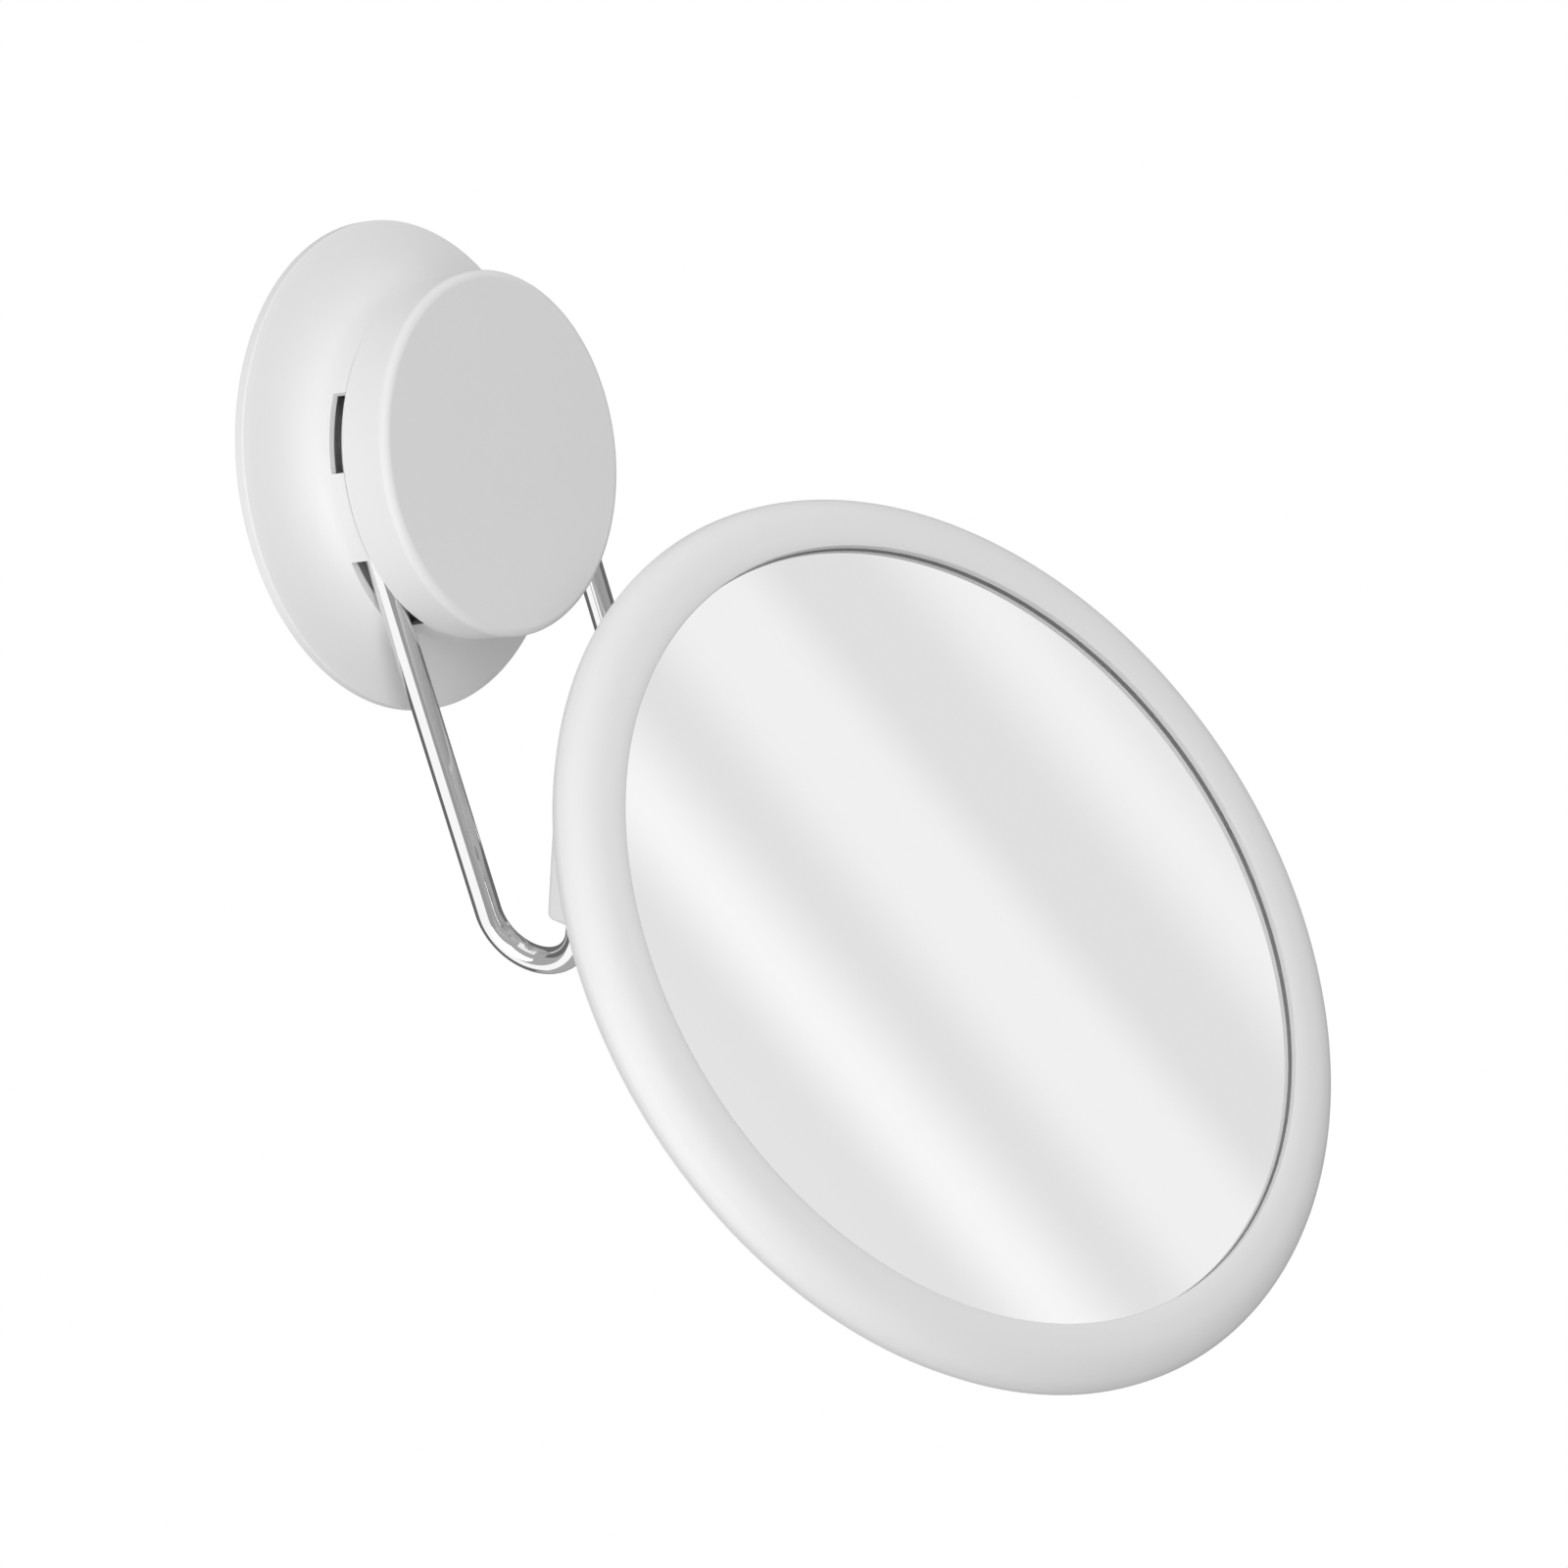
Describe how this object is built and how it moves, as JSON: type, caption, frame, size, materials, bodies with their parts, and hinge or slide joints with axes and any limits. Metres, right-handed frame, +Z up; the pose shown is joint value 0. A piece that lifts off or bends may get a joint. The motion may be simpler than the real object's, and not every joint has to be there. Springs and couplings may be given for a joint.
{
  "type": "extendable shaving mirror",
  "caption": "Round tilting mirror on a chromed wire arm and a twist-lock suction base, with a hinged extension link behind it.",
  "frame": {"origin": "centre of the suction cup's contact ring, on the wall plane", "axes": "+Y into the wall along the base's axis, +Z up, +X level along both hinge axes; the mirror reaches out towards -Y"},
  "size_m": [0.175, 0.1184, 0.2317],
  "materials": {
    "white_plastic": "satin white moulded",
    "grey_plastic": "matt",
    "clear_rubber": "translucent pale soft vinyl",
    "chrome": "polished plating",
    "steel": "zinc plated",
    "brass": "turned",
    "foam": "closed-cell foam",
    "mirror_silver": "silvered glass"
  },
  "bodies": {
    "base": {"suction_cup": "clear_rubber", "base_housing": "white_plastic", "thrust_washer": "steel", "clamp_ring": "grey_plastic", "clamp_screw_1": "steel", "clamp_screw_2": "steel", "clamp_screw_3": "steel", "wire_arm": "chrome", "knuckle_block": "white_plastic", "grub_screw_left": "steel", "grub_screw_right": "steel", "link_bolt": "steel", "link_nut": "steel"},
    "cap": {"locking_cap": "white_plastic", "cap_nut": "brass"},
    "stud": {"draw_stud": "steel", "stud_clip": "steel", "release_spring": "steel"},
    "link": {"extension_link": "white_plastic", "link_washer_left": "grey_plastic", "link_washer_right": "grey_plastic", "tilt_washer_left": "grey_plastic", "tilt_washer_right": "grey_plastic"},
    "mirror": {"mirror_bezel": "white_plastic", "mirror_glass": "mirror_silver", "foam_pad": "foam", "rear_shell": "white_plastic", "hinge_bracket": "white_plastic", "bracket_screw_1": "steel", "bracket_screw_2": "steel", "bracket_screw_3": "steel", "bracket_screw_4": "steel", "tilt_bolt": "steel", "tilt_nut": "steel"}
  },
  "joints": [
    {"name": "cap_twist", "type": "hinge", "parent": "base", "child": "cap", "pos_m": [0, 0, 0], "axis": [0, -1, 0], "range_deg": [0, 90]},
    {"name": "stud_draw", "type": "slide", "parent": "base", "child": "stud", "axis": [0, 1, 0], "range_m": [0, 0.002], "deforming": ["release_spring", "suction_cup"]},
    {"name": "link_swing", "type": "hinge", "parent": "base", "child": "link", "pos_m": [0, -0.03284, -0.06568], "axis": [1, 0, 0], "range_deg": [0, 30]},
    {"name": "mirror_tilt", "type": "hinge", "parent": "link", "child": "mirror", "pos_m": [0, -0.06611, -0.11226], "axis": [1, 0, 0], "range_deg": [-8, 25]}
  ],
  "couplings": [
    {"joint": "stud_draw", "follows": "cap_twist", "m_per_rad": 0.00127}
  ]
}
